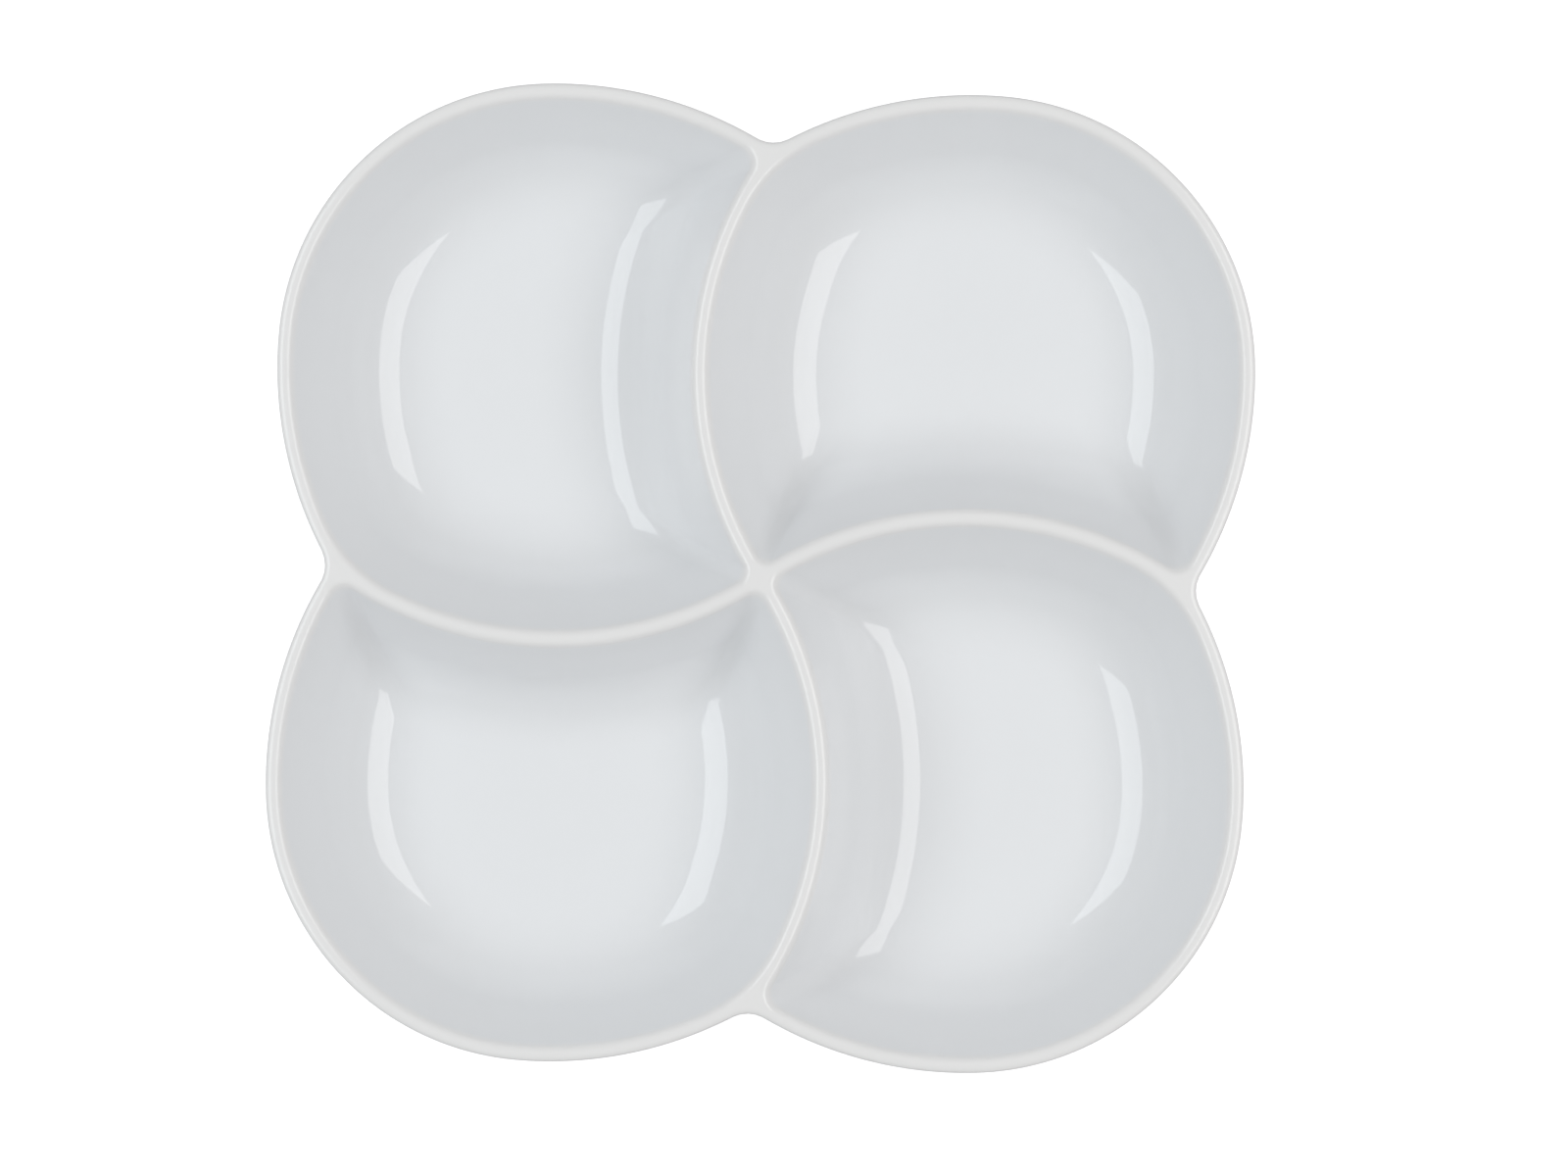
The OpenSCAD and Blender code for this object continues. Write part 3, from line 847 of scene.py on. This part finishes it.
class NodeSheet:
    """A material's node tree, with short calls for adding and joining nodes."""

    def __init__(self, name: str) -> None:
        """Starts a material that has only a shader and its output."""
        self.material = bpy.data.materials.new(name)
        self.material.use_nodes = True
        self.nodes = self.material.node_tree.nodes
        self.links = self.material.node_tree.links
        self.shader = self.nodes["Principled BSDF"]
        self.output = self.nodes["Material Output"]

    def add(self, kind: str, **inputs: object) -> bpy.types.Node:
        """Adds a node and sets its input sockets by name.

        Args:
            kind: Blender's name of the node type.
            **inputs: Values for sockets, with spaces written as underscores.

        Returns:
            The new node.
        """
        node = self.nodes.new(kind)
        for socket, value in inputs.items():
            node.inputs[socket.replace("_", " ")].default_value = value
        return node

    def join(self, source: bpy.types.NodeSocket, target: bpy.types.NodeSocket) -> None:
        """Links an output to an input."""
        self.links.new(source, target)

    def object_noise(self, scale: float, detail: float) -> bpy.types.NodeSocket:
        """Adds noise that is fixed to the piece.

        Args:
            scale: Waves per metre.
            detail: Levels of finer noise.

        Returns:
            The noise's output, about 0.5 on the whole.
        """
        place = self.add("ShaderNodeTexCoord")
        noise = self.add("ShaderNodeTexNoise", Scale=scale, Detail=detail)
        self.join(place.outputs["Object"], noise.inputs["Vector"])
        return noise.outputs["Fac"]

    def ranged(self, source: bpy.types.NodeSocket, low: float, high: float) -> bpy.types.NodeSocket:
        """Maps noise onto a range of values.

        Args:
            source: The noise.
            low: Value at the low end of the noise's usual range.
            high: Value at its high end.

        Returns:
            The mapped value.
        """
        span = self.nodes.new("ShaderNodeMapRange")
        span.inputs["From Min"].default_value, span.inputs["From Max"].default_value = NOISE_RANGE
        span.inputs["To Min"].default_value = low
        span.inputs["To Max"].default_value = high
        self.join(source, span.inputs["Value"])
        return span.outputs["Result"]

    def height_share(self, low: float, high: float) -> bpy.types.NodeSocket:
        """Rises smoothly from 0 to 1 between two heights on the piece.

        Args:
            low: Height where it is 0, in metres.
            high: Height where it is 1.

        Returns:
            The share.
        """
        place = self.add("ShaderNodeTexCoord")
        parts = self.add("ShaderNodeSeparateXYZ")
        self.join(place.outputs["Object"], parts.inputs[0])
        span = self.nodes.new("ShaderNodeMapRange")
        span.interpolation_type = "SMOOTHSTEP"
        span.inputs["From Min"].default_value = low
        span.inputs["From Max"].default_value = high
        self.join(parts.outputs["Z"], span.inputs["Value"])
        return span.outputs["Result"]

    def worked_out(
        self, operation: str, *values: Union[float, bpy.types.NodeSocket]
    ) -> bpy.types.NodeSocket:
        """Adds a calculation.

        Args:
            operation: Blender's name of the calculation.
            *values: Its numbers, or the outputs that give them.

        Returns:
            The result.
        """
        node = self.nodes.new("ShaderNodeMath")
        node.operation = operation
        for socket, value in zip(node.inputs, values):
            if isinstance(value, float):
                socket.default_value = value
            else:
                self.join(value, socket)
        return node.outputs["Value"]

    def mixed(
        self, share: bpy.types.NodeSocket, first: Union[Tone, bpy.types.NodeSocket], second: Tone
    ) -> bpy.types.NodeSocket:
        """Mixes two colours.

        Args:
            share: Share of the second colour.
            first: Colour where the share is 0, or the output that gives it.
            second: Colour where it is 1.

        Returns:
            The mixed colour.
        """
        mix = self.nodes.new("ShaderNodeMix")
        mix.data_type = "RGBA"
        if isinstance(first, tuple):
            mix.inputs["A"].default_value = (*first, 1)
        else:
            self.join(first, mix.inputs["A"])
        mix.inputs["B"].default_value = (*second, 1)
        self.join(share, mix.inputs["Factor"])
        return mix.outputs["Result"]

    def bump(self, height: bpy.types.NodeSocket, distance: float) -> None:
        """Lets a height push the shader's normal in and out, at full strength.

        Args:
            height: The height, from 0 to 1.
            distance: What a height of 1 is, in metres.
        """
        bump = self.add("ShaderNodeBump", Distance=distance, Strength=1.0)
        self.join(height, bump.inputs["Height"])
        if self.shader.inputs["Normal"].is_linked:
            self.join(self.shader.inputs["Normal"].links[0].from_socket, bump.inputs["Normal"])
        self.join(bump.outputs["Normal"], self.shader.inputs["Normal"])


@dataclass(frozen=True)
class GlazedPorcelain:
    """White porcelain under clear gloss glaze, with slow changes of tone, a faint orange peel, and a
    brighter, warmer crest that is partly the thinner glaze at the rim and partly painted light on the dish's
    top.
    """

    tone: Tone = (0.865, 0.876, 0.892)
    thin_tone: Tone = (0.885, 0.892, 0.905)
    # Crest tone: warmer where the glaze thins at the rim, and brighter as painted light on the dish's top
    crest_thin_glaze_and_painted_light_tone: Tone = (0.908, 0.899, 0.894)
    crest_thin_glaze_and_painted_light_heights: tuple[float, float] = (0.0415, 0.0446)
    roughness: tuple[float, float] = (0.025, 0.05)
    ior: float = 1.54
    pool_scale: float = 14.0
    wave_scale: float = 32.0
    wave_height: float = 0.00012
    peel_scale: float = 520.0
    peel_height: float = 0.0000025

    def material(self) -> bpy.types.Material:
        """Builds the node tree."""
        sheet = NodeSheet("glazed_porcelain")
        pools = sheet.object_noise(self.pool_scale, detail=2.0)
        glaze = sheet.mixed(pools, self.tone, self.thin_tone)
        # Blends the crest tone in between two heights: thin glaze there, plus a painted highlight on the top
        crest = sheet.height_share(*self.crest_thin_glaze_and_painted_light_heights)
        sheet.join(sheet.mixed(crest, glaze, self.crest_thin_glaze_and_painted_light_tone), sheet.shader.inputs["Base Color"])
        sheet.join(sheet.ranged(pools, *self.roughness), sheet.shader.inputs["Roughness"])
        sheet.shader.inputs["IOR"].default_value = self.ior
        sheet.bump(sheet.object_noise(self.wave_scale, detail=1.0), self.wave_height)
        sheet.bump(sheet.object_noise(self.peel_scale, detail=1.0), self.peel_height)
        return sheet.material


@dataclass(frozen=True)
class BarePorcelain:
    """Unglazed porcelain: matt, a little warmer, with fine grain and dark specks."""

    tone: Tone = (0.72, 0.685, 0.63)
    worn_tone: Tone = (0.64, 0.60, 0.545)
    speck_tone: Tone = (0.33, 0.29, 0.25)
    roughness: tuple[float, float] = (0.72, 0.88)
    stain_scale: float = 60.0
    grain_scale: float = 2600.0
    grain_height: float = 0.00004
    speck_scale: float = 900.0
    speck_size: float = 0.16

    def material(self) -> bpy.types.Material:
        """Builds the node tree."""
        sheet = NodeSheet("bare_porcelain")
        grain = sheet.object_noise(self.grain_scale, detail=3.0)
        stains = sheet.object_noise(self.stain_scale, detail=3.0)
        ground = sheet.mixed(sheet.ranged(stains, 0.0, 1.0), self.tone, self.worn_tone)
        place = sheet.add("ShaderNodeTexCoord")
        cells = sheet.add("ShaderNodeTexVoronoi", Scale=self.speck_scale)
        sheet.join(place.outputs["Object"], cells.inputs["Vector"])
        speck = sheet.worked_out("LESS_THAN", cells.outputs["Distance"], self.speck_size)
        specked = sheet.mixed(speck, ground, self.speck_tone)
        sheet.join(specked, sheet.shader.inputs["Base Color"])
        sheet.join(sheet.ranged(grain, *self.roughness), sheet.shader.inputs["Roughness"])
        sheet.bump(grain, self.grain_height)
        return sheet.material


@dataclass(frozen=True)
class SoftBox:
    """A rectangular studio lamp that hangs level over one side of the dish."""

    name: str
    middle: tuple[float, float, float]
    size: tuple[float, float]
    radiance: float
    colour: Tone

    def build(self) -> bpy.types.Object:
        """Hangs the lamp, facing down.

        Returns:
            The lamp's object.
        """
        lamp = bpy.data.lights.new(self.name, "AREA")
        lamp.shape = "RECTANGLE"
        lamp.size, lamp.size_y = self.size
        lamp.energy = self.radiance * math.pi * self.size[0] * self.size[1]
        lamp.color = self.colour
        holder = bpy.data.objects.new(self.name, lamp)
        bpy.context.scene.collection.objects.link(holder)
        holder.location = self.middle
        holder.visible_camera = False
        return holder


@dataclass
class Studio:
    """White room: a pale floor, a soft ceiling of light and a softbox on each side."""

    floor_size: float = 8.0
    floor_gap: float = 0.0001
    floor_tone: Tone = (0.42, 0.42, 0.425)
    floor_dim_tone: Tone = (0.4158, 0.4158, 0.42075)
    floor_scale: float = 6.0
    floor_roughness: float = 0.9
    floor_specular: float = 0.1
    room_tone: Tone = (0.985, 0.995, 1.0)
    glow: float = 0.9
    bounce: float = 0.3
    zenith: float = 0.52
    front: float = 0.27
    sides: float = 0.5
    boxes: tuple[SoftBox, ...] = (
        SoftBox("softbox_left", (-0.95, 0, 1.13), (0.84, 1.3), 2.2, (0.94, 0.985, 1.0)),
        SoftBox("softbox_right", (0.95, 0, 1.13), (0.84, 1.3), 2.2, (1.0, 0.99, 0.975)),
    )

    def build(self) -> None:
        """Makes the floor, the room's light and the lamps."""
        self._floor()
        self._room()
        for box in self.boxes:
            box.build()

    def _floor(self) -> None:
        """Lays a white floor that takes the dish's shadow, lights its underside and is clear from below."""
        deselect_all()
        bpy.ops.mesh.primitive_plane_add(size=self.floor_size, location=(0, 0, -self.floor_gap))
        floor = bpy.context.active_object
        floor.name = "floor"
        sheet = NodeSheet("studio_floor")
        clouds = sheet.object_noise(self.floor_scale, detail=2.0)
        sheet.join(
            sheet.mixed(clouds, self.floor_dim_tone, self.floor_tone), sheet.shader.inputs["Base Color"]
        )
        sheet.shader.inputs["Roughness"].default_value = self.floor_roughness
        sheet.shader.inputs["Specular IOR Level"].default_value = self.floor_specular
        path = sheet.nodes.new("ShaderNodeLightPath")
        bounce = sheet.worked_out("MULTIPLY", path.outputs["Is Diffuse Ray"], self.bounce)
        strength = sheet.worked_out("MULTIPLY_ADD", path.outputs["Is Camera Ray"], self.glow, bounce)
        glow = sheet.nodes.new("ShaderNodeEmission")
        sheet.join(strength, glow.inputs["Strength"])
        lit = sheet.nodes.new("ShaderNodeAddShader")
        sheet.join(sheet.shader.outputs[0], lit.inputs[0])
        sheet.join(glow.outputs[0], lit.inputs[1])
        side = sheet.nodes.new("ShaderNodeNewGeometry")
        through = sheet.nodes.new("ShaderNodeBsdfTransparent")
        seen = sheet.nodes.new("ShaderNodeMixShader")
        sheet.join(side.outputs["Backfacing"], seen.inputs[0])
        sheet.join(lit.outputs[0], seen.inputs[1])
        sheet.join(through.outputs[0], seen.inputs[2])
        sheet.join(seen.outputs[0], sheet.output.inputs["Surface"])
        floor.data.materials.append(sheet.material)

    def _room(self) -> None:
        """Lights the room from overhead and from its sides. The camera sees it as plain white."""
        world = bpy.data.worlds.new("room")
        world.use_nodes = True
        bpy.context.scene.world = world
        nodes, links = world.node_tree.nodes, world.node_tree.links
        base = nodes["Background"]
        place = nodes.new("ShaderNodeTexCoord")
        parts = nodes.new("ShaderNodeSeparateXYZ")
        links.new(place.outputs["Generated"], parts.inputs[0])
        sideways = nodes.new("ShaderNodeMath")
        sideways.operation = "MULTIPLY"
        links.new(parts.outputs["X"], sideways.inputs[0])
        links.new(parts.outputs["X"], sideways.inputs[1])
        horizon = nodes.new("ShaderNodeMapRange")
        horizon.inputs["To Min"].default_value = self.front
        horizon.inputs["To Max"].default_value = self.sides
        links.new(sideways.outputs[0], horizon.inputs["Value"])
        level = nodes.new("ShaderNodeMapRange")
        level.inputs["To Max"].default_value = self.zenith
        links.new(horizon.outputs["Result"], level.inputs["To Min"])
        links.new(parts.outputs["Z"], level.inputs["Value"])
        links.new(level.outputs["Result"], base.inputs["Strength"])
        base.inputs["Color"].default_value = (*self.room_tone, 1)
        white = nodes.new("ShaderNodeBackground")
        path = nodes.new("ShaderNodeLightPath")
        pick = nodes.new("ShaderNodeMixShader")
        links.new(path.outputs["Is Camera Ray"], pick.inputs[0])
        links.new(base.outputs[0], pick.inputs[1])
        links.new(white.outputs[0], pick.inputs[2])
        links.new(pick.outputs[0], nodes["World Output"].inputs["Surface"])


@dataclass
class PhotoCamera:
    """A camera straight above the dish, with a long lens, framed as the photograph is."""

    frame_w: float = 0.4486
    rim_z: float = 0.045
    distance: float = 2.4
    sensor: float = 36.0
    roll: float = 1.6
    offset: tuple[float, float] = (0.00673, -0.0028)

    def build(self) -> bpy.types.Object:
        """Sets the scene's camera.

        Returns:
            The camera's object.
        """
        camera = bpy.data.cameras.new("photo_camera")
        camera.sensor_width = self.sensor
        camera.lens = self.sensor * self.distance / self.frame_w
        holder = bpy.data.objects.new("photo_camera", camera)
        bpy.context.scene.collection.objects.link(holder)
        roll = math.radians(self.roll)
        place = complex(*self.offset) * cmath.rect(1, roll)
        holder.location = (place.real, place.imag, self.rim_z + self.distance)
        holder.rotation_euler = (0, 0, roll)
        bpy.context.scene.camera = holder
        return holder


def body_nodes() -> list[str]:
    """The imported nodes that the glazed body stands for."""
    return [name for name in sorted(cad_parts) if not name.startswith("foot_ring")]


def dress(piece: bpy.types.Object, material: bpy.types.Material, nodes: list[str]) -> None:
    """Gives a piece its finish and tells the frame what it stands for.

    Args:
        piece: The finished piece.
        material: Its material.
        nodes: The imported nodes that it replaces.
    """
    piece.data.materials.clear()
    piece.data.materials.append(material)
    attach(piece, BODY)
    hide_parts(*nodes)
    log.info("%s: %d faces, for %d nodes", piece.name, len(piece.data.polygons), len(nodes))


def main() -> None:
    """Builds the dish, the studio and the camera."""
    logging.basicConfig(level=logging.INFO)
    bpy.context.scene.view_settings.view_transform = "Standard"
    plan = LobePlan()
    PhotoCamera().build()
    body = GlazedBody(plan).build()
    dress(body, GlazedPorcelain().material(), body_nodes())
    feet = FootRing(plan)
    bare = BarePorcelain().material()
    for ring, node in zip(feet.build(), feet.nodes):
        dress(ring, bare, [node])
    Studio().build()


if __name__ == "__main__":
    main()
